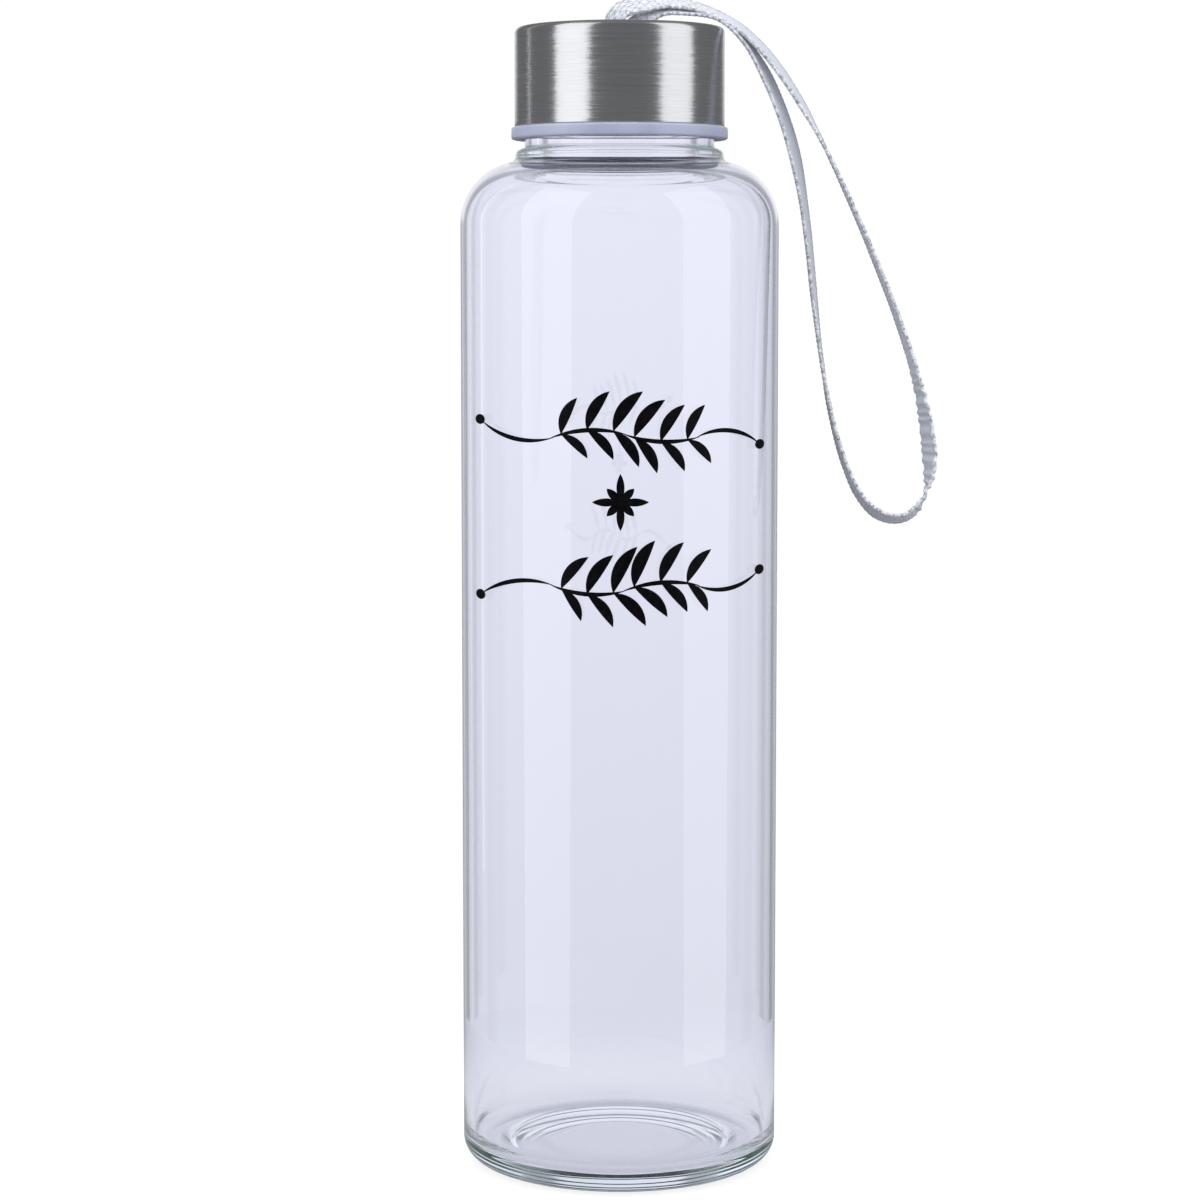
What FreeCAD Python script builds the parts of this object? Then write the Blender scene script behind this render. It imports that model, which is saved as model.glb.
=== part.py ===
import FreeCAD, Part
import math
import os

from FreeCAD import Vector

# A glass water bottle with a screw cap and a carrying strap, in millimetres.
# The origin is the centre of the plane that the bottle stands on, +Z is up,
# the print faces -Y and the strap hangs on the +X side.

# Glass body
body_radius = 32.5
glass_wall = 2.0
shoulder_height = 193.5     # where the straight wall ends
shoulder_radius = 13.0
floor_thickness = 3.8
outer_base_round = 4.5
inner_base_round = 4.0
punt_rise = 1.0             # the hollow under the base
punt_slope = 1.5
standing_ring_width = 5.0

# Neck
neck_radius = 18.4          # at the root of the thread
bead_radius = 1.2           # half the height of the bead under the cap
bead_stand = 1.6            # how far the middle of the bead stands off the neck
land_stand = 1.0            # the plain ring between the bead and the thread
land_height = 2.3
land_slope = 0.7
neck_fillet = 2.0
neck_height = 18.9          # from the bottom of the bead to the rim
rim_round = 0.6

# Thread, right-handed, shared by the neck and the cap
thread_lead = 4.2
ridge_height = 0.9
ridge_foot = 2.2            # width where a ridge leaves its wall
ridge_crest = 1.0
neck_turns = 1.75
cap_turns = 1.5
thread_gap = 0.4            # between a crest and the wall that it faces
ridge_sink = 0.3            # how deep a ridge is rooted in its wall

# Cap
sheet = 0.5                 # of the steel shell
cap_edge_round = 1.2
fit_gap = 0.05              # between the liner and the shell
liner_wall = 1.15
liner_disc = 1.4
flange_height = 2.5
flange_stand = 0.7          # how far the flange stands out past the shell
flange_round = 0.3
flange_gap = 1.9            # from the bead up to the flange
lead_in = 0.5
skirt_gap = 0.9             # from the top of the liner's skirt to the shell's roof
strap_hole_radius = 3.8

# Seal
seal_thickness = 1.6
seal_bore_gap = 0.4         # how far the seal reaches into the mouth, past the bore
seal_edge_gap = 0.5         # between the seal and the liner's wall

# Strap
strap_width = 4.8
strap_thickness = 1.0
knot_radius = 5.4
knot_height = 4.1
knot_gap = 0.2              # above and below the knot
knot_round = 1.6

# The strap's route in the XZ plane, from the knot over the cap, down the outer
# leg, round the bottom and up the inner leg, back to the knot. The first and
# last points are on the knot's top.
strap_outer = [(3.6, 239.1), (16.8, 239.3), (28.8, 232.0), (39.8, 215.6),
               (50.6, 191.6), (60.0, 167.6), (64.5, 150.0), (64.6, 137.4),
               (58.4, 131.2)]
strap_inner = [(51.0, 134.0), (45.2, 147.0), (41.4, 167.0), (37.8, 202.5),
               (31.8, 221.0), (23.4, 234.6), (12.5, 237.2), (5.0, 237.1)]
strap_start_x = -1.4
strap_end_x = 1.0
bend_share = 0.45           # share of the shorter run that a bend takes up

# Print on the front of the glass: two leafy sprigs with a star between them.
# A stem is a chain of strokes, each with the place of its end across the front,
# that end's rise, its bow to one side and how many pairs of leaves it carries.
ink_thickness = 0.1
upper_row_height = 152.0
middle_height = 139.0
lower_row_height = 122.0
sprig_reach = 28.0
stem_rise = 2.6
stem_breadth = 0.9
stem_strokes = [(-13.0, -0.4, -2.0, 0), (1.2, 0.3, 1.3, 3), (15.8, -0.3, -1.3, 3),
                (sprig_reach, -2.4, 2.2, 0)]
stem_lap = 0.07             # share of a stroke that the next one laps
leaf_length = 10.0          # the longest leaf, in the middle of the upper sprig
leaf_breadth = 2.6
leaf_taper = 0.5            # how much smaller the leaves are towards the ends
leaf_angle = 58
leaf_spread = 108           # between the two leaves of a pair
leaf_lean = 0.5             # share of the stem's slope that its leaves follow
lower_leaf = 0.88           # the leaf under the stem, as a share of the one above
leaf_bow = 0.1
lower_sprig = 1.06          # size of the lower sprig's leaves
bud_radius = 1.0
star_points = 8
star_reach = 5.6
short_petal = 0.68
petal_breadth = 1.6

# Places that follow from the sizes above
bore_radius = neck_radius - glass_wall
ring_radius = body_radius - outer_base_round
punt_radius = ring_radius - standing_ring_width
inner_radius = body_radius - glass_wall
shoulder_centre = body_radius - shoulder_radius
bead_centre = neck_radius + bead_stand
bead_bottom = shoulder_height + math.sqrt(shoulder_radius ** 2 - (bead_centre - shoulder_centre) ** 2)
bead_top = bead_bottom + 2 * bead_radius
land_top = bead_top + land_height
rim_height = bead_bottom + neck_height
liner_bore = neck_radius + ridge_height + thread_gap
liner_ridge_tip = neck_radius + thread_gap
liner_radius = liner_bore + liner_wall
cap_radius = liner_radius + fit_gap + sheet
flange_bottom = bead_top + flange_gap
shell_bottom = flange_bottom + flange_height
cap_thread_start = flange_bottom + lead_in + ridge_foot / 2
neck_thread_start = cap_thread_start + thread_lead / 2
disc_bottom = rim_height + seal_thickness
disc_top = disc_bottom + liner_disc
knot_bottom = disc_top + knot_gap
knot_top = knot_bottom + knot_height
roof = knot_top + knot_gap
shell_top = roof + sheet


def on_plane(point):
    return Vector(point[0], 0, point[1])


def line(start, end):
    return Part.makeLine(on_plane(start), on_plane(end))


def arc(start, middle, end):
    return Part.Arc(on_plane(start), on_plane(middle), on_plane(end)).toShape()


def round_point(centre, radius, angle):
    turn = math.radians(angle)
    return (centre[0] + radius * math.cos(turn), centre[1] + radius * math.sin(turn))


# An arc about a centre, between two angles in degrees.
def quarter(centre, radius, start, end):
    return arc(round_point(centre, radius, start), round_point(centre, radius, (start + end) / 2),
               round_point(centre, radius, end))


# Joins arcs and corner points into one closed run of edges.
def chain(pieces):
    edges = []
    last = None
    first = None
    for piece in pieces:
        if isinstance(piece, tuple):
            start = on_plane(piece)
            end = start
        else:
            start = piece.firstVertex(True).Point
            end = piece.lastVertex(True).Point
        if first is None:
            first = start
        if last is not None and last.distanceToPoint(start) > 1e-6:
            edges.append(Part.makeLine(last, start))
        if not isinstance(piece, tuple):
            edges.append(piece)
        last = end
    if last.distanceToPoint(first) > 1e-6:
        edges.append(Part.makeLine(last, first))
    return edges


def face_of(pieces):
    return Part.Face(Part.Wire(Part.__sortEdges__(chain(pieces))))


# The solid that a closed outline sweeps about the Z axis.
def turned(pieces):
    return face_of(pieces).revolve(Vector(0, 0, 0), Vector(0, 0, 1), 360)


# One thread ridge, from inside its wall to its crest, starting at a height.
def ridge(wall, crest, turns, height):
    inwards = 1 if wall > crest else -1
    root = wall + inwards * ridge_sink
    helix = Part.makeHelix(thread_lead, thread_lead * turns, wall)
    corners = [(root, -ridge_foot / 2), (wall, -ridge_foot / 2), (crest, -ridge_crest / 2),
               (crest, ridge_crest / 2), (wall, ridge_foot / 2), (root, ridge_foot / 2)]
    section = Part.makePolygon([on_plane(corner) for corner in corners + corners[:1]])
    sweep = Part.Wire(helix.Edges).makePipeShell([section], True, True)
    sweep.translate(Vector(0, 0, height))
    return sweep


def glass_body():
    base_corner = (ring_radius, outer_base_round)
    inner_corner = (inner_radius - inner_base_round, floor_thickness + inner_base_round)
    shoulder = (shoulder_centre, shoulder_height)
    bead_angle = math.degrees(math.acos((bead_centre - shoulder_centre) / shoulder_radius))
    fillet_centre = (bore_radius + neck_fillet, shoulder_height + shoulder_radius - glass_wall + neck_fillet)
    outline = [
        (0, punt_rise),
        (punt_radius - punt_slope, punt_rise),
        (punt_radius, 0),
        quarter(base_corner, outer_base_round, -90, 0),
        quarter(shoulder, shoulder_radius, 0, bead_angle),
        quarter((bead_centre, bead_bottom + bead_radius), bead_radius, -90, 90),
        (neck_radius + land_stand, bead_top),
        (neck_radius + land_stand, land_top),
        (neck_radius, land_top + land_slope),
        quarter((neck_radius - rim_round, rim_height - rim_round), rim_round, 0, 90),
        quarter((bore_radius + rim_round, rim_height - rim_round), rim_round, 90, 180),
        quarter(fillet_centre, neck_fillet, 180, 270),
        quarter(shoulder, shoulder_radius - glass_wall, 90, 0),
        quarter(inner_corner, inner_base_round, 0, -90),
        (0, floor_thickness),
    ]
    thread = ridge(neck_radius, neck_radius + ridge_height, neck_turns, neck_thread_start)
    return turned(outline).fuse(thread)


# The plastic liner: flange, threaded skirt and the disc over the mouth.
def cap_liner():
    flange_radius = cap_radius + flange_stand
    skirt_top = roof - skirt_gap
    outline = [
        (0, disc_bottom),
        (liner_bore, disc_bottom),
        (liner_bore, flange_bottom + lead_in),
        (liner_bore + lead_in, flange_bottom),
        quarter((flange_radius - flange_round, flange_bottom + flange_round), flange_round, -90, 0),
        quarter((flange_radius - flange_round, shell_bottom - flange_round), flange_round, 0, 90),
        (liner_radius, shell_bottom),
        (liner_radius, skirt_top),
        (liner_bore, skirt_top),
        (liner_bore, disc_top),
        (0, disc_top),
    ]
    thread = ridge(liner_bore, liner_ridge_tip, cap_turns, cap_thread_start)
    return turned(outline).fuse(thread)


def cap_shell():
    edge = (cap_radius - cap_edge_round, shell_top - cap_edge_round)
    outline = [
        (cap_radius - sheet, shell_bottom),
        (cap_radius, shell_bottom),
        quarter(edge, cap_edge_round, 0, 90),
        (strap_hole_radius, shell_top),
        (strap_hole_radius, roof),
        quarter(edge, cap_edge_round - sheet, 90, 0),
    ]
    return turned(outline)


def cap_seal():
    outline = [
        (bore_radius - seal_bore_gap, rim_height),
        (liner_bore - seal_edge_gap, rim_height),
        (liner_bore - seal_edge_gap, disc_bottom),
        (bore_radius - seal_bore_gap, disc_bottom),
    ]
    return turned(outline)


def strap_knot():
    edge = knot_radius - knot_round
    outline = [
        (0, knot_bottom),
        quarter((edge, knot_bottom + knot_round), knot_round, -90, 0),
        quarter((edge, knot_top - knot_round), knot_round, 0, 90),
        (0, knot_top),
    ]
    return turned(outline)


def direction(start, end):
    length = math.dist(start, end)
    return ((end[0] - start[0]) / length, (end[1] - start[1]) / length)


# A point moved to the left of a heading by an offset.
def beside(point, heading, offset):
    return (point[0] - heading[1] * offset, point[1] + heading[0] * offset)


# One side of the strap: straight runs joined by arcs as large as the runs allow.
def strap_side(route, offset):
    start_heading = direction(route[0], route[1])
    flat_start = (route[0][0] - offset / start_heading[1], route[0][1])
    pieces = [flat_start]
    for before, corner, after in zip(route, route[1:], route[2:]):
        heading_in = direction(before, corner)
        heading_out = direction(corner, after)
        cut = bend_share * min(math.dist(before, corner), math.dist(corner, after))
        half_turn = math.acos(heading_in[0] * heading_out[0] + heading_in[1] * heading_out[1]) / 2
        side = math.copysign(1, heading_in[0] * heading_out[1] - heading_in[1] * heading_out[0])
        radius = cut / math.tan(half_turn)
        first = (corner[0] - heading_in[0] * cut, corner[1] - heading_in[1] * cut)
        last = (corner[0] + heading_out[0] * cut, corner[1] + heading_out[1] * cut)
        centre = beside(first, heading_in, side * radius)
        out = direction(centre, corner)
        reach = radius - side * offset
        middle = (centre[0] + out[0] * reach, centre[1] + out[1] * reach)
        pieces.append(arc(beside(first, heading_in, offset), middle, beside(last, heading_out, offset)))
        if offset == 0:
            print("strap bend radius %.1f mm, turn %.0f degrees" % (radius, 2 * math.degrees(half_turn)))
    end_heading = direction(route[-2], route[-1])
    pieces.append((route[-1][0] - offset / end_heading[1], route[-1][1]))
    return pieces


# A flat ribbon loop: both ends stand on the knot, under the hole in the cap.
def strap():
    route = [(strap_start_x, knot_top)] + strap_outer + strap_inner + [(strap_end_x, knot_top)]
    middle_edges = chain(strap_side(route, 0))[:-1]
    length = sum(edge.Length for edge in middle_edges)
    left = strap_side(route, strap_thickness / 2)
    right = strap_side(route, -strap_thickness / 2)
    ribbon = face_between(left, right)
    ribbon.translate(Vector(0, -strap_width / 2, 0))
    solid = ribbon.extrude(Vector(0, strap_width, 0))
    print("strap length %.1f mm, volume %.1f, section times length %.1f"
          % (length, abs(solid.Volume), strap_width * strap_thickness * length))
    return solid


# The face between two sides that run the same way.
def face_between(left, right):
    edges = chain(left)[:-1] + chain(right)[:-1]
    edges.append(line(left[0], right[0]))
    edges.append(line(left[-1], right[-1]))
    return Part.Face(Part.Wire(Part.__sortEdges__(edges)))


# A pen stroke, pointed at both ends: two arcs with the same ends.
def stroke(start, end, bow, breadth):
    heading = direction(start, end)
    centre = ((start[0] + end[0]) / 2, (start[1] + end[1]) / 2)
    upper = beside(centre, heading, bow + breadth / 2)
    lower = beside(centre, heading, bow - breadth / 2)
    return Part.Face(Part.Wire([arc(start, upper, end), arc(end, lower, start)]))


# A point on the middle line of a stroke, at a share of its length.
def on_stroke(start, end, bow, share):
    straight = (start[0] + (end[0] - start[0]) * share, start[1] + (end[1] - start[1]) * share)
    return beside(straight, direction(start, end), bow * 4 * share * (1 - share))


def leaf(foot, angle, grow):
    length = leaf_length * grow
    return stroke(foot, round_point(foot, length, angle), leaf_bow * length, leaf_breadth * grow)


def dot(centre, radius):
    circle = Part.Circle(on_plane(centre), Vector(0, 1, 0), radius)
    return Part.Face(Part.Wire([circle.toShape()]))


# Ink on the front of the glass, in the shape of the faces seen from the front.
def printed(faces):
    skin = Part.makeCylinder(body_radius + ink_thickness, shoulder_height)
    skin = skin.cut(Part.makeCylinder(body_radius, shoulder_height))
    prisms = [face.extrude(Vector(0, -2 * body_radius, 0)) for face in faces]
    shape = prisms[0].fuse(prisms[1:])
    return skin.common(shape)


# A long waving stem with paired leaves, from one side of the print to the other.
def sprig(height, side, size):
    start = (-sprig_reach, height + side * stem_rise)
    faces = [dot(start, bud_radius)]
    for across, rise, bow, pairs in stem_strokes:
        end = (across, height + side * rise)
        faces.append(stroke(start, end, side * bow, stem_breadth))
        for index in range(pairs):
            share = (index + 0.5) / pairs
            foot = on_stroke(start, end, side * bow, share)
            beyond = on_stroke(start, end, side * bow, share + 0.01)
            slope = math.degrees(math.atan2(beyond[1] - foot[1], beyond[0] - foot[0]))
            angle = leaf_angle + leaf_lean * slope
            grow = size * (1 - leaf_taper * abs(foot[0]) / sprig_reach)
            faces.append(leaf(foot, angle, grow))
            faces.append(leaf(foot, angle - leaf_spread, lower_leaf * grow))
        start = on_stroke(start, end, side * bow, 1 - stem_lap)
    faces.append(dot(end, bud_radius))
    return faces


# Petals round a dot, long and short in turn.
def star(height):
    centre = (0, height)
    faces = [dot(centre, bud_radius)]
    for index in range(star_points):
        length = star_reach if index % 2 == 0 else short_petal * star_reach
        tip = round_point(centre, length, 90 + 360 / star_points * index)
        faces.append(stroke(centre, tip, 0, petal_breadth))
    return faces


parts = {
    "glass_body": glass_body(),
    "print_upper": printed(sprig(upper_row_height, 1, 1)),
    "print_middle": printed(star(middle_height)),
    "print_lower": printed(sprig(lower_row_height, -1, lower_sprig)),
    "cap_seal": cap_seal(),
    "cap_liner": cap_liner(),
    "cap_shell": cap_shell(),
    "strap": strap(),
    "strap_knot": strap_knot(),
}

os.makedirs("parts", exist_ok=True)
for name, shape in parts.items():
    shape.exportStep("parts/" + name + ".step")
    print(name, shape.ShapeType, len(shape.Solids), "solids", "%.1f mm3" % shape.Volume, shape.isValid())
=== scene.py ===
import math

import bmesh
import bpy
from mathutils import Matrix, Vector


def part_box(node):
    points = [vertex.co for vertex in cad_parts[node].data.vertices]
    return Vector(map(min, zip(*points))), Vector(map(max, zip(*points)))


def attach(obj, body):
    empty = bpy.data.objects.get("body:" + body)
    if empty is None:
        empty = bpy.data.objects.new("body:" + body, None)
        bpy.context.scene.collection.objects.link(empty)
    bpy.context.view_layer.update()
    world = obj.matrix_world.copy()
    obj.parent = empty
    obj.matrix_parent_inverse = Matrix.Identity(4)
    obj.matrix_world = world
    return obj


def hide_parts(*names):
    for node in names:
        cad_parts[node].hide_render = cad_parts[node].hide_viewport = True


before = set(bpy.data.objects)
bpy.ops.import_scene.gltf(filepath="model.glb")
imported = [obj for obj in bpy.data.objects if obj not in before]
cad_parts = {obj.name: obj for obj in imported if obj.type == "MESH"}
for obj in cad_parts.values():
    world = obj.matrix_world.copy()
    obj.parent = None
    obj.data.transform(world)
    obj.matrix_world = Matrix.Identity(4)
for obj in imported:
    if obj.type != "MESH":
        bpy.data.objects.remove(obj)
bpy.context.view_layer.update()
scene = bpy.context.scene


def arcPoints(centre, radius, start, end, steps):
    points = []
    for step in range(steps + 1):
        angle = math.radians(start + (end - start) * step / steps)
        points.append((centre[0] + radius * math.cos(angle), centre[1] + radius * math.sin(angle)))
    return points


def straight(start, end, steps):
    points = []
    for step in range(1, steps):
        share = step / steps
        points.append(tuple(first + (last - first) * share for first, last in zip(start, end)))
    return points


# Points of a curve between two places, left and reached at the given angles.
def sweep(start, leave, end, reach, steps):
    pull = math.dist(start, end) * 0.45
    first = (start[0] + pull * math.cos(leave), start[1] + pull * math.sin(leave))
    second = (end[0] - pull * math.cos(reach), end[1] - pull * math.sin(reach))
    points = []
    for step in range(1, steps):
        share = step / steps
        rest = 1 - share
        weights = (rest ** 3, 3 * share * rest ** 2, 3 * share ** 2 * rest, share ** 3)
        places = (start, first, second, end)
        points.append(tuple(sum(weight * place[axis] for weight, place in zip(weights, places))
                            for axis in (0, 1)))
    return points


def smoothStep(value):
    value = min(max(value, 0.0), 1.0)
    return value * value * (3 - 2 * value)


def finishPiece(name, shape, body, sharp=35):
    bmesh.ops.recalc_face_normals(shape, faces=shape.faces)
    mesh = bpy.data.meshes.new(name)
    shape.to_mesh(mesh)
    shape.free()
    mesh.shade_smooth()
    mesh.set_sharp_from_angle(angle=math.radians(sharp))
    piece = bpy.data.objects.new(name, mesh)
    scene.collection.objects.link(piece)
    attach(piece, body)
    return piece


# Turns an outline of (radius, height) points about the axis. The map's first
# value goes up by 1 once round the axis, and the second is metres along the outline.
def turnOutline(outline, segments, closed=True):
    shape = bmesh.new()
    along = shape.verts.layers.float.new("along")
    verts = []
    walked = 0.0
    for index, (radius, height) in enumerate(outline):
        vert = shape.verts.new((radius, 0, height))
        if index:
            walked += math.dist(outline[index - 1], outline[index])
        vert[along] = walked
        verts.append(vert)
    edges = [shape.edges.new(pair) for pair in zip(verts, verts[1:])]
    if closed:
        edges.append(shape.edges.new((verts[-1], verts[0])))
    bmesh.ops.spin(shape, geom=verts + edges, cent=(0, 0, 0), axis=(0, 0, 1), angle=2 * math.pi,
                   steps=segments, use_merge=True)
    bmesh.ops.remove_doubles(shape, verts=shape.verts, dist=1e-7)
    uv = shape.loops.layers.uv.new("UVMap")
    for face in shape.faces:
        middle = face.calc_center_median()
        base = math.atan2(middle.y, middle.x)
        for loop in face.loops:
            point = loop.vert.co
            turn = base
            if math.hypot(point.x, point.y) > 1e-6:
                turn = math.atan2(point.y, point.x)
                turn += 2 * math.pi * round((base - turn) / (2 * math.pi))
            loop[uv].uv = (turn / (2 * math.pi), loop.vert[along])
    return shape


def newMaterial(name):
    material = bpy.data.materials.new(name)
    material.use_nodes = True
    tree = material.node_tree
    return material, tree, tree.nodes["Principled BSDF"]


# Links an input to a socket, or sets it to a constant.
def feed(tree, node, inputs):
    for key, value in inputs.items():
        socket = node.inputs[key]
        if isinstance(value, bpy.types.NodeSocket):
            tree.links.new(value, socket)
        else:
            socket.default_value = (*value, 1) if socket.type == "RGBA" else value
    return node


def addNode(tree, kind, inputs=None, **settings):
    node = tree.nodes.new(kind)
    for key, value in settings.items():
        setattr(node, key, value)
    return feed(tree, node, inputs or {})


def objectPoint(tree):
    return addNode(tree, "ShaderNodeTexCoord").outputs["Object"]


def split(tree, vector):
    return addNode(tree, "ShaderNodeSeparateXYZ", {0: vector}).outputs


def splitMap(tree):
    return split(tree, addNode(tree, "ShaderNodeUVMap", uv_map="UVMap").outputs["UV"])


def combine(tree, operation, *values):
    return addNode(tree, "ShaderNodeMath", dict(enumerate(values)), operation=operation).outputs[0]


def scaled(tree, value, factor, offset=0.0):
    return combine(tree, "MULTIPLY_ADD", value, factor, offset)


def joined(tree, *parts):
    return addNode(tree, "ShaderNodeCombineXYZ", dict(enumerate(parts))).outputs[0]


def scaledVector(tree, vector, factor):
    node = addNode(tree, "ShaderNodeVectorMath", operation="SCALE")
    return feed(tree, node, {0: vector, "Scale": factor}).outputs[0]


def mapRange(tree, value, given, wanted=(0, 1), smooth=False):
    keys = ("Value", "From Min", "From Max", "To Min", "To Max")
    node = addNode(tree, "ShaderNodeMapRange", dict(zip(keys, (value, *given, *wanted))))
    node.interpolation_type = "SMOOTHSTEP" if smooth else "LINEAR"
    return node.outputs["Result"]


def mixNumber(tree, factor, first, second):
    inputs = {0: factor, 2: first, 3: second}
    return feed(tree, addNode(tree, "ShaderNodeMix", data_type="FLOAT"), inputs).outputs[0]


def mixColour(tree, factor, first, second):
    inputs = {0: factor, 6: first, 7: second}
    return feed(tree, addNode(tree, "ShaderNodeMix", data_type="RGBA"), inputs).outputs[2]


def noise(tree, point, scale, detail, roughness=0.5):
    inputs = {"Vector": point, "Scale": scale, "Detail": detail, "Roughness": roughness}
    return addNode(tree, "ShaderNodeTexNoise", inputs).outputs["Fac"]


def bumped(tree, height, strength, distance):
    inputs = {"Height": height, "Strength": strength, "Distance": distance}
    return addNode(tree, "ShaderNodeBump", inputs).outputs["Normal"]


def colourRamp(tree, factor, *stops):
    ramp = addNode(tree, "ShaderNodeValToRGB", {"Fac": factor})
    elements = ramp.color_ramp.elements
    while len(elements) < len(stops):
        elements.new(0.5)
    for element, (position, colour) in zip(elements, stops):
        element.position = position
        element.color = (*colour, 1)
    return ramp.outputs["Color"]


def clearGlass():
    look = dict(colour=(0.995, 0.998, 1.0), ior=1.5, absorb=(0.0, 0.30, 0.12), density=2.5,
                ripple=0.012, rippleSize=38.0)
    material, tree, shader = newMaterial("clearGlass")
    ripple = noise(tree, objectPoint(tree), look["rippleSize"], 1.0)
    feed(tree, shader, {
        "Base Color": look["colour"], "Transmission Weight": 1, "Roughness": 0, "IOR": look["ior"],
        "Normal": bumped(tree, ripple, look["ripple"], 0.002),
    })
    absorb = {"Density": look["density"], "Color": look["absorb"]}
    volume = addNode(tree, "ShaderNodeVolumeAbsorption", absorb)
    feed(tree, tree.nodes["Material Output"], {"Volume": volume.outputs["Volume"]})
    return material


# Fine lines run round the axis, and the surface leans a little along them, which
# breaks the edges of what it reflects.
def brushedSteel():
    look = dict(colour=(0.53, 0.54, 0.565), light=(0.64, 0.65, 0.675), roughness=(0.18, 0.29),
                lines=6800.0, length=70.0, broadLines=0.45, broadLength=3.2, scatter=0.045,
                depth=0.05, anisotropy=0.7, turn=0.25)
    material, tree, shader = newMaterial("brushedSteel")
    place, flat = split(tree, objectPoint(tree)), splitMap(tree)

    def streaks(length, lines):
        stretched = joined(tree, scaled(tree, place["X"], length), scaled(tree, place["Y"], length),
                           scaled(tree, flat["Y"], lines))
        return noise(tree, stretched, 1.0, 3.0, 0.6)

    fine = streaks(look["length"], look["lines"])
    broad = streaks(look["length"] * look["broadLength"], look["lines"] * look["broadLines"])
    tangent = addNode(tree, "ShaderNodeTangent", direction_type="RADIAL", axis="Z").outputs[0]
    swing = scaled(tree, broad, 2 * look["scatter"], -look["scatter"])
    leaned = {0: bumped(tree, fine, look["depth"], 0.0002), 1: scaledVector(tree, tangent, swing)}
    lean = addNode(tree, "ShaderNodeVectorMath", leaned, operation="ADD").outputs[0]
    level = addNode(tree, "ShaderNodeVectorMath", {0: lean}, operation="NORMALIZE").outputs[0]
    feed(tree, shader, {
        "Metallic": 1, "Anisotropic": look["anisotropy"], "Anisotropic Rotation": look["turn"],
        "Base Color": colourRamp(tree, fine, (0.3, look["colour"]), (0.7, look["light"])),
        "Roughness": mapRange(tree, fine, (0.3, 0.7), look["roughness"]),
        "Normal": level, "Tangent": tangent,
    })
    return material


def milkyPlastic():
    look = dict(colour=(0.52, 0.55, 0.73), light=(0.62, 0.65, 0.83), roughness=0.3,
                cloudSize=140.0, grainSize=2600.0)
    material, tree, shader = newMaterial("milkyPlastic")
    point = objectPoint(tree)
    cloud = noise(tree, point, look["cloudSize"], 3.0)
    grain = noise(tree, point, look["grainSize"], 2.0)
    feed(tree, shader, {
        "Base Color": colourRamp(tree, cloud, (0.35, look["colour"]), (0.65, look["light"])),
        "Roughness": look["roughness"], "IOR": 1.49, "Transmission Weight": 0.25,
        "Subsurface Weight": 0.35, "Subsurface Radius": (1, 1, 1.2), "Subsurface Scale": 0.002,
        "Normal": bumped(tree, grain, 0.08, 0.0002),
    })
    return material


def sealSilicone():
    look = dict(colour=(0.78, 0.79, 0.80), shade=(0.66, 0.67, 0.69), roughness=0.55, cloudSize=320.0)
    material, tree, shader = newMaterial("sealSilicone")
    cloud = noise(tree, objectPoint(tree), look["cloudSize"], 4.0)
    feed(tree, shader, {
        "Base Color": colourRamp(tree, cloud, (0.35, look["shade"]), (0.65, look["colour"])),
        "Roughness": look["roughness"], "Subsurface Weight": 0.5, "Subsurface Scale": 0.002,
        "Normal": bumped(tree, cloud, 0.1, 0.0002),
    })
    return material


def firedInk():
    look = dict(colour=(0.002, 0.002, 0.003), worn=(0.006, 0.006, 0.007), roughness=(0.35, 0.6),
                cloudSize=900.0)
    material, tree, shader = newMaterial("firedInk")
    cloud = noise(tree, objectPoint(tree), look["cloudSize"], 5.0)
    feed(tree, shader, {
        "Base Color": colourRamp(tree, cloud, (0.4, look["colour"]), (0.75, look["worn"])),
        "Roughness": mapRange(tree, cloud, (0, 1), look["roughness"]), "Specular IOR Level": 0.06,
        "Normal": bumped(tree, cloud, 0.05, 0.0001),
    })
    return material


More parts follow.
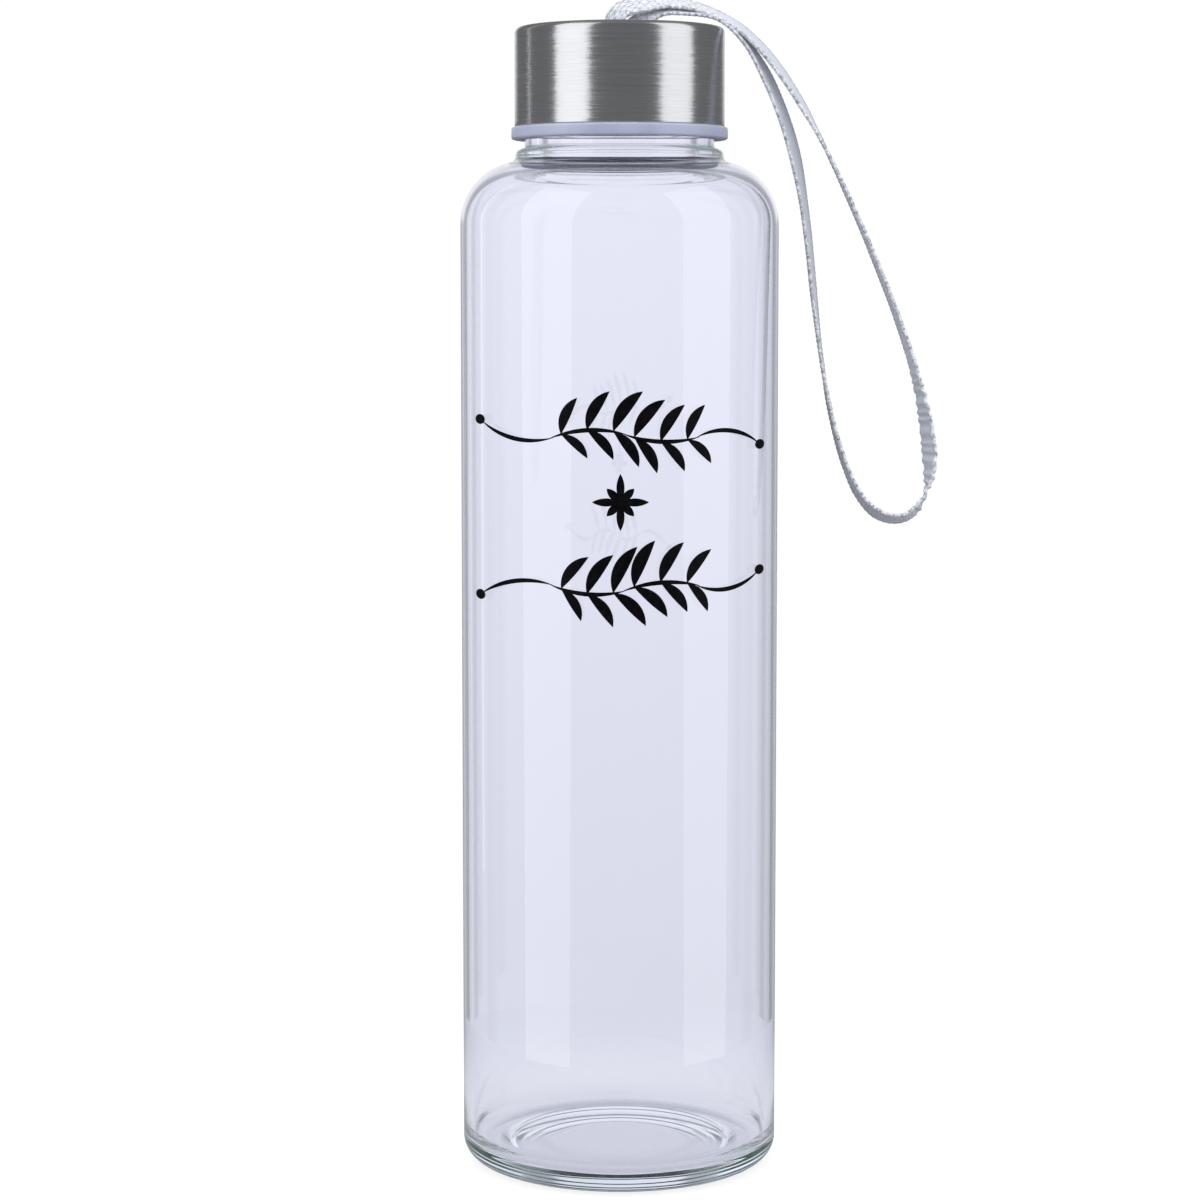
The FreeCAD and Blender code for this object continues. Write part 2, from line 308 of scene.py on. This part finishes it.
# The map's first value runs across the ribbon from 0 to 1 on each face, and the
# second along it, in metres. Between root and tail the ribbon lies flat. Outside
# them, and along both edges, the colour is speckled. The specks partly stand for the
# stitched and braided threads, and are partly painted: dark shade specks are painted
# shadow between bunched, braided strands and white specks are painted glints. Bumps
# raise the same specks, but the ribbon's shape there is not bunched.
def satinRibbon():
    # In the speckle, shade is a painted shadow colour and edge a painted glint white; thread and light are
    # the cloth's own tones.
    look = dict(thread=(0.55, 0.585, 0.655), light=(0.72, 0.755, 0.83), edge=(0.98, 0.98, 1.0),
                shade=(0.28, 0.295, 0.34), roughness=0.40, sheen=0.35, warps=15.0, wefts=2600.0,
                stitches=980.0, selvedge=(0.74, 0.84), root=(0.032, 0.016), tail=(0.252, 0.266))
    material, tree, shader = newMaterial("satinRibbon")
    flat = splitMap(tree)
    across, along = flat["X"], flat["Y"]

    def fibres(acrossScale, alongScale, detail, roughness=0.5):
        point = joined(tree, scaled(tree, across, acrossScale), scaled(tree, along, alongScale))
        return noise(tree, point, 1.0, detail, roughness)

    def wave(value, number):
        return combine(tree, "SINE", scaled(tree, value, number * 2 * math.pi))

    fibre = fibres(42.0, 420.0, 3.0, 0.6)
    fine = fibres(9.0, 2200.0, 2.0)
    specks = fibres(16.0, look["stitches"], 2.0, 0.7)
    edgeDistance = combine(tree, "ABSOLUTE", scaled(tree, across, 2.0, -1.0))
    ends = [mapRange(tree, along, look[key]) for key in ("root", "tail")]
    mask = combine(tree, "MAXIMUM", mapRange(tree, edgeDistance, look["selvedge"]),
                   combine(tree, "MAXIMUM", *ends))
    # Speckle colour for the edges and ends: painted shade specks and painted white glints over the thread
    # tone.
    stitchesPaintedGlintsAndShade = colourRamp(tree, specks, (0.34, look["shade"]), (0.46, look["thread"]), (0.6, look["edge"]))
    woven = colourRamp(tree, fibre, (0.3, look["thread"]), (0.7, look["light"]))
    weave = combine(tree, "MULTIPLY", wave(across, look["warps"]), wave(along, look["wefts"]))
    raised = combine(tree, "MULTIPLY", mask, scaled(tree, specks, 3.0))
    height = combine(tree, "ADD", scaled(tree, weave, 0.5),
                     combine(tree, "ADD", scaled(tree, fine, 1.4), raised))
    feed(tree, shader, {
        "Base Color": mixColour(tree, mask, woven, stitchesPaintedGlintsAndShade), "Roughness": look["roughness"],
        "Sheen Weight": look["sheen"], "Sheen Roughness": 0.4, "Specular IOR Level": 0.6,
        "Normal": bumped(tree, height, 0.45, 0.00018),
    })
    return material


# Narrow dark flags stand behind the bottle every 45 degrees. They draw the dark
# lines inside the glass walls, and are seen only through glass.
def flagShade(tree, x, y):
    look = dict(number=8.0, dark=0.5, edge=(-0.9, -0.5))
    turn = combine(tree, "MULTIPLY", combine(tree, "ARCTAN2", x, y), look["number"])
    shade = mapRange(tree, combine(tree, "COSINE", turn), look["edge"], (look["dark"], 1.0), smooth=True)
    return combine(tree, "MAXIMUM", shade, combine(tree, "LESS_THAN", y, 0.0))


# The floor glows, and fades to an even white away from the bottle. Seen through
# glass its glow is a lavender tint, darker near the bottle as a painted shadow under
# it. Glossy surfaces and light that bounces see it darker than the eye does.
def studioFloor():
    # near is the painted shadow tint seen through glass close to the bottle, and through the tint further
    # out.
    look = dict(colour=(0.24, 0.24, 0.243), light=(0.25, 0.25, 0.253), glow=0.82, far=1.03,
                near=(0.59, 0.60, 0.72), through=(0.69, 0.703, 0.818), dim=0.25, fade=(0.055, 0.125))
    material, tree, shader = newMaterial("studioFloor")
    point = objectPoint(tree)
    reach = addNode(tree, "ShaderNodeVectorMath", {0: point}, operation="LENGTH").outputs["Value"]
    away = mapRange(tree, reach, look["fade"], smooth=True)
    grey = colourRamp(tree, noise(tree, point, 60.0, 4.0), (0.3, look["colour"]), (0.7, look["light"]))
    path = addNode(tree, "ShaderNodeLightPath").outputs
    seen = combine(tree, "MAXIMUM", path["Is Camera Ray"], path["Is Transmission Ray"])
    direct = combine(tree, "MULTIPLY", seen, combine(tree, "LESS_THAN", path["Diffuse Depth"], 0.5))
    glow = mixNumber(tree, away, look["glow"], look["far"])
    glassTintShadedNearBottle = mixColour(tree, away, look["near"], look["through"])
    feed(tree, shader, {
        "Base Color": mixColour(tree, away, grey, (0, 0, 0)), "Roughness": 0.9, "Specular IOR Level": 0.05,
        "Emission Color": mixColour(tree, path["Is Camera Ray"], glassTintShadedNearBottle, (1, 1, 1)),
        "Emission Strength": mixNumber(tree, direct, look["dim"], glow),
    })
    return material


glass = clearGlass()
steel = brushedSteel()
plastic = milkyPlastic()
silicone = sealSilicone()
ink = firedInk()
ribbonCloth = satinRibbon()
print("materials made")

view = dict(eye=(-0.0040, -0.6230, 0.1825), pitch=4.99, lens=90.9, shift=-0.0470)


def placeCamera():
    data = bpy.data.cameras.new("studioCamera")
    data.lens = view["lens"]
    data.sensor_width = 36
    data.shift_y = view["shift"]
    data.clip_start = 0.01
    data.clip_end = 50
    camera = bpy.data.objects.new("studioCamera", data)
    camera.location = view["eye"]
    camera.rotation_euler = (math.radians(90 - view["pitch"]), 0, 0)
    scene.collection.objects.link(camera)
    scene.camera = camera


placeCamera()

# The points are the strap's route, from the knot over the cap, down the outer
# leg, round the bottom and up the inner leg. A tilt shows the outer face to the
# front where it is positive, and it is given against the distance along.
strap = dict(
    route=[(-0.0018, 0, 0.2327), (-0.0014, 0, 0.2366), (0.0048, 0, 0.2385), (0.0160, 0, 0.2383),
           (0.0281, 0, 0.2315), (0.0392, 0, 0.2153), (0.0504, 0, 0.1915), (0.0598, 0, 0.1676),
           (0.0638, 0, 0.1507), (0.0640, 0, 0.1387), (0.0586, 0, 0.1322), (0.0504, 0, 0.1352),
           (0.0449, 0, 0.1477), (0.0410, 0, 0.1670), (0.0375, 0, 0.2025), (0.0318, 0, 0.2210),
           (0.0234, 0, 0.2346), (0.0130, 0, 0.2371), (0.0056, 0, 0.2368), (0.0018, 0, 0.2327)],
    width=0.0048, thickness=0.0006, edge=0.0004, step=0.00022,
    tilts=[(0, 20), (3, 50), (8, 48), (15, 26), (24, 21), (40, 22), (50, 18), (57, 8), (64, 2), (72, -1),
           (92, -6), (106, -9), (114, -15), (121, -26), (127, -30), (131, -18), (135, 6), (140, 22),
           (147, 24), (153, 13), (159, 7), (172, 1), (182, -6), (200, -15), (212, -18), (226, -29),
           (240, -28), (250, -16), (258, -8), (266, -22), (273, -46), (278, -50), (281, -20)],
    folds=(106, 141), foldEnds=(10, 3), foldStep=0.0021, foldDepth=0.0003, foldDrift=(1.3, 900),
    stitchStep=0.00105, stitchDepth=0.00006, stitchFrom=0.78, faceRows=9, faceShare=0.96, pathEvery=8,
)


def routeLine(points):
    curve = bpy.data.curves.new("strapRoute", "CURVE")
    curve.dimensions = "3D"
    curve.resolution_u = 60
    spline = curve.splines.new("NURBS")
    spline.points.add(len(points) - 1)
    for place, point in zip(spline.points, points):
        place.co = (*point, 1)
    spline.order_u = 3
    spline.use_endpoint_u = True
    guide = bpy.data.objects.new("strapRoute", curve)
    mesh = bpy.data.meshes.new_from_object(guide)
    line = [vert.co.copy() for vert in mesh.vertices]
    bpy.data.objects.remove(guide)
    bpy.data.meshes.remove(mesh)
    bpy.data.curves.remove(curve)
    return line


# Points at even steps along a line, each with its distance along.
def evenLine(line, step):
    lengths = [0.0]
    for first, second in zip(line, line[1:]):
        lengths.append(lengths[-1] + (second - first).length)
    count = round(lengths[-1] / step)
    points = []
    index = 0
    for number in range(count + 1):
        distance = lengths[-1] * number / count
        while index < len(line) - 2 and lengths[index + 1] < distance:
            index += 1
        share = (distance - lengths[index]) / (lengths[index + 1] - lengths[index])
        points.append((distance, line[index].lerp(line[index + 1], share)))
    return points


def blendedValue(stops, distance):
    for (first, low), (second, high) in zip(stops, stops[1:]):
        if distance <= second:
            return low + (high - low) * smoothStep((distance - first) / (second - first))
    return stops[-1][1]


# The ribbon's section as (across, off the face) pairs: thin in the middle, with
# a round corded edge on each side.
def ribbonSection():
    half = strap["width"] / 2 - strap["edge"]
    flat = strap["thickness"] / 2
    rows = strap["faceRows"]
    reach = half * strap["faceShare"]
    front = [(reach * (2 * row / rows - 1), flat) for row in range(rows + 1)]
    nearEdge = [(half + across, off) for across, off in arcPoints((0, 0), strap["edge"], 115, -115, 7)]
    farEdge = [(-across, -off) for across, off in nearEdge]
    back = [(-across, -off) for across, off in front]
    return front + nearEdge + back + farEdge


# A flat grid is bent round the section and along the line.
def weaveStrap(line, section):
    rings, places = len(line), len(section)
    half = strap["width"] / 2
    shape = bmesh.new()
    uv = shape.loops.layers.uv.new("UVMap")
    bmesh.ops.create_grid(shape, x_segments=rings - 1, y_segments=places, size=1)
    seats = {}
    for vert in shape.verts:
        ring = round((vert.co.x + 1) / 2 * (rings - 1))
        seats[vert] = (ring, round((vert.co.y + 1) / 2 * places) % places)
    for face in shape.faces:
        for loop in face.loops:
            ring, place = seats[loop.vert]
            loop[uv].uv = (0.5 + 0.5 * section[place][0] / half, line[ring][0])
    frames = []
    (low, high), (fadeIn, fadeOut) = strap["folds"], strap["foldEnds"]
    for index, (distance, point) in enumerate(line):
        heading = (line[min(index + 1, rings - 1)][1] - line[max(index - 1, 0)][1]).normalized()
        inward = Vector((0, 1, 0)).cross(heading).normalized()
        tilt = math.radians(blendedValue(strap["tilts"], distance * 1000))
        near = (Vector((0, -1, 0)) * math.cos(tilt) + inward * math.sin(tilt)).normalized()
        swing, rate = strap["foldDrift"]
        wave = math.sin(2 * math.pi * distance / strap["foldStep"] + swing * math.sin(distance * rate))
        fold = smoothStep((distance * 1000 - low) / fadeIn) * smoothStep((high - distance * 1000) / fadeOut)
        frames.append((point, near, heading.cross(near), fold * strap["foldDepth"] * wave))
    for vert, (ring, place) in seats.items():
        point, near, face, fold = frames[ring]
        across, off = section[place]
        side = across / half
        stitch = 0.0
        if abs(side) > strap["stitchFrom"]:
            phase = 0.0 if side > 0 else 0.5
            turn = 2 * math.pi * (line[ring][0] / strap["stitchStep"] + phase)
            stitch = strap["stitchDepth"] * math.sin(turn + 0.9 * off / strap["edge"])
            across += math.copysign(stitch, across)
        swell = 1 + 0.8 * stitch / strap["edge"]
        vert.co = point + near * across + face * (off * swell + fold * (1 - 0.6 * abs(side) ** 3))
    bmesh.ops.remove_doubles(shape, verts=shape.verts, dist=1e-7)
    ends = [edge for edge in shape.edges if edge.is_boundary]
    bmesh.ops.edgeloop_fill(shape, edges=ends)
    return shape


def makeStrap():
    line = evenLine(routeLine([Vector(point) for point in strap["route"]]), strap["step"])
    piece = finishPiece("strapRibbon", weaveStrap(line, ribbonSection()), "strap", sharp=80)
    piece.data.materials.append(ribbonCloth)
    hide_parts("strap")
    print("strap length %.4f m, %d faces" % (line[-1][0], len(piece.data.polygons)))
    path = [tuple(point) for distance, point in line[::strap["pathEvery"]]] + [tuple(line[-1][1])]
    return piece, path


strapPiece, strapPath = makeStrap()

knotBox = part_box("strap_knot")
knot = dict(turns=3, slant=1.3, groove=0.14, segments=(96, 48))


def makeKnot():
    low, high = (Vector(corner) for corner in knotBox)
    centre, half = (low + high) / 2, (high - low) / 2
    rounds, rows = knot["segments"]
    shape = bmesh.new()
    bmesh.ops.create_uvsphere(shape, u_segments=rounds, v_segments=rows, radius=1)
    for vert in shape.verts:
        spot = vert.co.copy()
        turn = math.atan2(spot.y, spot.x)
        reach = math.hypot(spot.x, spot.y)
        wrap = abs(math.sin(knot["turns"] * (turn + knot["slant"] * spot.z)))
        groove = 1 - knot["groove"] * (1 - wrap) ** 3 * smoothStep(reach * 3)
        vert.co = Vector((spot.x * half.x, spot.y * half.y, spot.z * half.z)) * groove + centre
    # The map places the knot mostly in the ribbon's speckled end, so it takes the painted shade specks and
    # painted white glints.
    uv = shape.loops.layers.uv.new("UVMap")
    for face in shape.faces:
        for loop in face.loops:
            spot = loop.vert.co - centre
            loop[uv].uv = (0.5 + 0.4 * spot.z / half.z, (math.atan2(spot.y, spot.x) + math.pi) * 0.004)
    piece = finishPiece("strapKnot", shape, "strap", sharp=70)
    piece.data.materials.append(ribbonCloth)
    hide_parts("strap_knot")
    return piece


knotPiece = makeKnot()
print("strap and knot made")

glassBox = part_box("glass_body")
bottle = dict(
    radius=glassBox[1][0], top=glassBox[1][2], wall=0.002, shoulderRadius=0.013, shoulderHeight=0.1935,
    floor=0.0038, baseRound=0.0045, innerRound=0.004, puntRise=0.001, puntSlope=0.0015, ringWidth=0.005,
    neck=0.0184, flareStart=69, beadRadius=0.0012, beadStand=0.0016, landRound=0.0004, landStand=0.001,
    landHeight=0.0023, landSlope=0.0007, neckFillet=0.002, rimRound=0.0006, segments=224,
)
thread = dict(lead=0.0042, height=0.0009, foot=0.0022, crest=0.001, neckTurns=1.75, capTurns=1.5,
              neckStart=0.21449, capStart=0.21239, fade=0.09)


def bottleOutline():
    b = bottle
    bore = b["neck"] - b["wall"]
    ringRadius = b["radius"] - b["baseRound"]
    punt = ringRadius - b["ringWidth"]
    inner = b["radius"] - b["wall"]
    centre = b["radius"] - b["shoulderRadius"]
    beadCentre = b["neck"] + b["beadStand"]
    angle = math.degrees(math.acos((beadCentre - centre) / b["shoulderRadius"]))
    beadBottom = b["shoulderHeight"] + b["shoulderRadius"] * math.sin(math.radians(angle))
    shoulder = arcPoints((centre, b["shoulderHeight"]), b["shoulderRadius"], 0, b["flareStart"], 24)
    beadTop = beadBottom + 2 * b["beadRadius"]
    landTop = beadTop + b["landHeight"]
    threadFoot = landTop + b["landSlope"]
    rimStart = b["top"] - b["rimRound"]
    outline = [(0, b["puntRise"]), (punt * 0.5, b["puntRise"]), (punt - b["puntSlope"], b["puntRise"])]
    outline += straight(outline[-1], (punt, 0), 3)
    outline += [(punt, 0), ((punt + ringRadius) / 2, 0)]
    outline += arcPoints((ringRadius, b["baseRound"]), b["baseRound"], -90, 0, 18)
    outline += straight(outline[-1], (b["radius"], b["shoulderHeight"]), 40)
    outline += shoulder
    beadEdge = (beadCentre + b["beadRadius"], beadBottom + b["beadRadius"])
    outline += sweep(shoulder[-1], math.radians(b["flareStart"] + 90), beadEdge, math.radians(90), 12)
    outline += arcPoints((beadCentre, beadEdge[1]), b["beadRadius"], 0, 90, 8)
    land = b["neck"] + b["landStand"]
    outline += arcPoints((land + b["landRound"], beadTop + b["landRound"]), b["landRound"], -90, -180, 4)
    outline += [(land, landTop), (b["neck"], threadFoot)]
    outline += straight((b["neck"], threadFoot), (b["neck"], rimStart), 60)
    outline += arcPoints((b["neck"] - b["rimRound"], rimStart), b["rimRound"], 0, 90, 7)
    outline += arcPoints((bore + b["rimRound"], rimStart), b["rimRound"], 90, 180, 7)
    filletHeight = b["shoulderHeight"] + b["shoulderRadius"] - b["wall"] + b["neckFillet"]
    outline += straight(outline[-1], (bore, filletHeight), 8)
    outline += arcPoints((bore + b["neckFillet"], filletHeight), b["neckFillet"], 180, 270, 10)
    outline += arcPoints((centre, b["shoulderHeight"]), b["shoulderRadius"] - b["wall"], 90, 0, 26)
    cornerHeight = b["floor"] + b["innerRound"]
    outline += straight(outline[-1], (inner, cornerHeight), 40)
    outline += arcPoints((inner - b["innerRound"], cornerHeight), b["innerRound"], 0, -90, 16)
    outline += [(punt, b["floor"]), (punt * 0.5, b["floor"]), (0, b["floor"])]
    return outline


# How far a thread stands off its wall at an angle and height.
def threadRise(angle, height, start, turns):
    share = (angle / (2 * math.pi)) % 1
    best = 0.0
    for lap in range(math.ceil(turns)):
        travelled = share + lap
        if travelled > turns:
            continue
        offset = abs(height - start - thread["lead"] * travelled)
        slope = (thread["foot"] - thread["crest"]) / 2
        rise = smoothStep((thread["foot"] / 2 - offset) / slope)
        ends = smoothStep(min(travelled, turns - travelled) / thread["fade"])
        best = max(best, thread["height"] * rise * ends)
    return best


def raiseThread(shape, wall, start, turns, outwards):
    for vert in shape.verts:
        radius = math.hypot(vert.co.x, vert.co.y)
        if abs(radius - wall) > 2e-6:
            continue
        rise = threadRise(math.atan2(vert.co.y, vert.co.x), vert.co.z, start, turns)
        grown = (radius + outwards * rise) / radius
        vert.co.x *= grown
        vert.co.y *= grown


def makeBottle():
    shape = turnOutline(bottleOutline(), bottle["segments"], closed=False)
    raiseThread(shape, bottle["neck"], thread["neckStart"], thread["neckTurns"], 1)
    piece = finishPiece("glassBottle", shape, "bottle", sharp=50)
    piece.data.materials.append(glass)
    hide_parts("glass_body")
    return piece


bottlePiece = makeBottle()
print("bottle made, %d faces" % len(bottlePiece.data.polygons))

for name in ("print_upper", "print_middle", "print_lower"):
    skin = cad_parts[name]
    skin.data.materials.clear()
    skin.data.materials.append(ink)

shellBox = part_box("cap_shell")
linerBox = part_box("cap_liner")
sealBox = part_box("cap_seal")
cap = dict(radius=shellBox[1][0], bottom=shellBox[0][2], top=shellBox[1][2], sheet=0.0005,
           edgeRound=0.0012, hole=0.0038, segments=192)
liner = dict(flange=linerBox[1][0], bottom=linerBox[0][2], bore=0.0197, wall=0.00115, round=0.0005,
             leadIn=0.0005, discBottom=sealBox[1][2], disc=0.0014, discInset=0.0004,
             top=linerBox[1][2], segments=192)
seal = dict(bore=0.016, radius=sealBox[1][0], bottom=sealBox[0][2], top=sealBox[1][2], round=0.0003,
            segments=144)


def makeShell():
    c = cap
    edge = (c["radius"] - c["edgeRound"], c["top"] - c["edgeRound"])
    roof = c["top"] - c["sheet"]
    hem = c["sheet"] / 2
    outline = arcPoints((c["radius"] - hem, c["bottom"] + hem), hem, -180, 0, 8)
    outline += straight(outline[-1], (c["radius"], edge[1]), 20)
    outline += arcPoints(edge, c["edgeRound"], 0, 90, 14)
    outline += straight(outline[-1], (c["hole"] + hem, c["top"]), 14)
    outline += arcPoints((c["hole"] + hem, roof + hem), hem, 90, 270, 8)
    outline += straight(outline[-1], (edge[0], roof), 10)
    outline += arcPoints(edge, c["edgeRound"] - c["sheet"], 90, 0, 8)
    piece = finishPiece("capShell", turnOutline(outline, c["segments"]), "cap", sharp=60)
    piece.data.materials.append(steel)
    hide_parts("cap_shell")
    return piece


def makeLiner():
    n = liner
    outer = n["bore"] + n["wall"]
    flangeTop = cap["bottom"]
    low = n["bottom"]
    outline = [(0, n["discBottom"]), (n["bore"] * 0.5, n["discBottom"])]
    outline += [(n["bore"] - n["discInset"], n["discBottom"])]
    outline += straight((n["bore"], n["discBottom"]), (n["bore"], low + n["leadIn"]), 60)
    outline += [(n["bore"], low + n["leadIn"]), (n["bore"] + n["leadIn"], low)]
    outline += arcPoints((n["flange"] - n["round"], low + n["round"]), n["round"], -90, 0, 6)
    outline += arcPoints((n["flange"] - n["round"], flangeTop - n["round"]), n["round"], 0, 90, 6)
    outline += [(outer, flangeTop), (outer, n["top"]), (n["bore"], n["top"])]
    outline += [(n["bore"], n["discBottom"] + n["disc"]), (0, n["discBottom"] + n["disc"])]
    shape = turnOutline(outline, n["segments"], closed=False)
    raiseThread(shape, n["bore"], thread["capStart"], thread["capTurns"], -1)
    piece = finishPiece("capLiner", shape, "cap", sharp=40)
    piece.data.materials.append(plastic)
    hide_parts("cap_liner")
    return piece


def makeSeal():
    s = seal
    outline = []
    for radius, height, start in ((s["radius"], s["bottom"], -90), (s["radius"], s["top"], 0),
                                  (s["bore"], s["top"], 90), (s["bore"], s["bottom"], 180)):
        inX = radius - s["round"] if radius == s["radius"] else radius + s["round"]
        inZ = height + s["round"] if height == s["bottom"] else height - s["round"]
        outline += arcPoints((inX, inZ), s["round"], start, start + 90, 5)
    piece = finishPiece("capSeal", turnOutline(outline, s["segments"]), "seal", sharp=60)
    piece.data.materials.append(silicone)
    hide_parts("cap_seal")
    return piece


makeShell()
makeLiner()
makeSeal()
print("cap made")

# Glossy surfaces see the brightness side, back, top and ground. The horizon is
# given in degrees, and the edges as parts of the direction along an axis. Glass
# shows the colour through, less lower down and to the right, and the eye sees white.
studio = dict(
    floorRadius=0.13, floorSegments=128, floorDrop=0.00005,
    side=0.19, back=0.9, backEdge=(0.86, 0.95), top=0.25, topEdge=(0.5, 0.85), ground=0.2, horizon=(1.0, 3.2),
    through=(0.85, 0.86, 1.0), lower=0.82, lowerEdge=(-0.3, 0.06), slope=0.09, slopeEdge=(-0.5, 0.5),
    indirect=0.6, soft=(0.80, 0.81, 0.85), under=0.4, underEdge=(-0.6, 0.15), plain=(1.02, 1.02, 1.02),
    aim=(0, 0, 0.16),
    lamps=[("leftSoftbox", (-0.78, -0.57, 0.42), (0.74, 1.7), 5.3),
           ("rightSoftbox", (0.92, -0.43, 0.42), (0.78, 1.7), 5.0),
           ("topSoftbox", (0.0, 0.25, 1.7), (1.8, 1.8), 16.0),
           ("edgeStrip", (-0.89, 0.45, 0.42), (0.05, 1.2), 0.16)],
)


def makeFloor():
    shape = bmesh.new()
    bmesh.ops.create_circle(shape, cap_ends=True, cap_tris=False, segments=studio["floorSegments"],
                            radius=studio["floorRadius"])
    bmesh.ops.translate(shape, verts=shape.verts, vec=(0, 0, -studio["floorDrop"]))
    mesh = bpy.data.meshes.new("studioFloor")
    shape.to_mesh(mesh)
    shape.free()
    floor = bpy.data.objects.new("studioFloor", mesh)
    floor.data.materials.append(studioFloor())
    scene.collection.objects.link(floor)


def makeLamps():
    for name, place, size, power in studio["lamps"]:
        data = bpy.data.lights.new(name, "AREA")
        data.shape = "RECTANGLE"
        data.size, data.size_y = size
        data.energy = power
        lamp = bpy.data.objects.new(name, data)
        lamp.location = place
        aim = Vector(studio["aim"]) - Vector(place)
        lamp.rotation_euler = aim.to_track_quat("-Z", "Y").to_euler()
        lamp.visible_camera = False
        lamp.visible_transmission = False
        lamp.visible_glossy = name != "topSoftbox"
        scene.collection.objects.link(lamp)


def makeWorld():
    world = bpy.data.worlds.new("studioWorld")
    world.use_nodes = True
    scene.world = world
    tree = world.node_tree
    direction = split(tree, addNode(tree, "ShaderNodeTexCoord").outputs["Generated"])
    x, y, z = (direction[axis] for axis in "XYZ")
    path = addNode(tree, "ShaderNodeLightPath").outputs
    horizon = tuple(math.sin(math.radians(angle)) for angle in studio["horizon"])
    around = mixNumber(tree, mapRange(tree, y, studio["backEdge"]), studio["side"], studio["back"])
    upper = mixNumber(tree, mapRange(tree, z, studio["topEdge"]), around, studio["top"])
    level = mixNumber(tree, mapRange(tree, z, horizon), studio["ground"], upper)
    share = flagShade(tree, x, y)
    for other in (mapRange(tree, z, studio["lowerEdge"], (studio["lower"], 1.0)),
                  mapRange(tree, x, studio["slopeEdge"], (1 + studio["slope"], 1 - studio["slope"])),
                  mapRange(tree, path["Diffuse Depth"], (0, 1), (1.0, studio["indirect"]))):
        share = combine(tree, "MULTIPLY", share, other)
    under = mapRange(tree, z, studio["underEdge"], (studio["under"], 1.0))
    channels = dict.fromkeys(("Red", "Green", "Blue"), level)
    colour = addNode(tree, "ShaderNodeCombineColor", channels).outputs[0]
    for ray, value in (("Is Diffuse Ray", scaledVector(tree, studio["soft"], under)),
                       ("Is Transmission Ray", scaledVector(tree, studio["through"], share)),
                       ("Is Camera Ray", studio["plain"])):
        colour = mixColour(tree, path[ray], colour, value)
    feed(tree, tree.nodes["Background"], {"Color": colour, "Strength": 1})


makeFloor()
makeLamps()
makeWorld()
scene.view_settings.view_transform = "Standard"
# Thick glass passes light on many times.
scene.cycles.max_bounces = scene.cycles.glossy_bounces = scene.cycles.transmission_bounces = 256
print("studio made")
